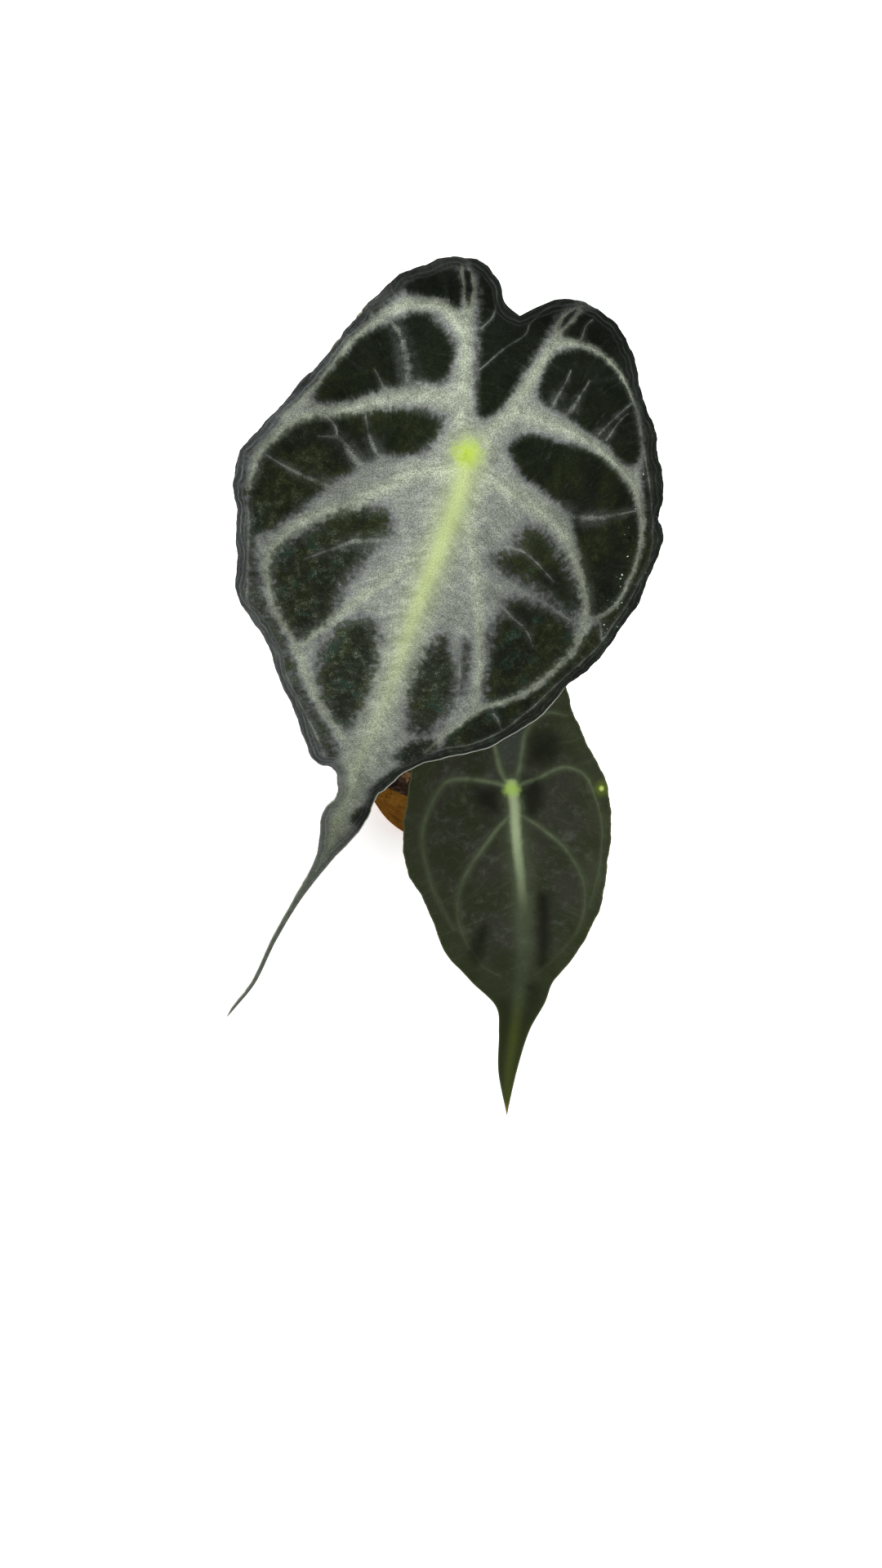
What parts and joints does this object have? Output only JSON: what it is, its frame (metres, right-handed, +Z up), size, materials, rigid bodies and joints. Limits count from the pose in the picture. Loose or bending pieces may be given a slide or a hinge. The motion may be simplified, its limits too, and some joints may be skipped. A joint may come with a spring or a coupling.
{
  "type": "potted venom alocasia",
  "caption": "Young aroid house plant with broad, waved, drawn-out leaves on stalks, in a small tapered clay pot of bark mix, standing on its flat base.",
  "frame": {"origin": "centre of the pot's flat base, on the surface that it rests on", "axes": "+Z up through the pot; the leaves lean and hang towards -Y; +X to the right of a viewer who looks along +Y"},
  "size_m": [0.12, 0.1727, 0.2296],
  "materials": {
    "blade_large": "dark green marbled with silver veins, satin",
    "blade_small": "dark olive green with pale veins, dusty satin",
    "petiole_large": "mottled green, satin",
    "petiole_small": "mottled green, satin",
    "cataphyll": "dry papery brown",
    "rootstock": "matt, ringed with leaf scars",
    "soil": "rough bark and peat",
    "pot": "caramel brown satin glaze"
  },
  "bodies": {
    "root": {"blade_large": "blade_large", "blade_small": "blade_small", "petiole_large": "petiole_large", "petiole_small": "petiole_small", "cataphyll": "cataphyll", "rootstock": "rootstock", "soil": "soil", "pot": "pot"}
  },
  "joints": []
}
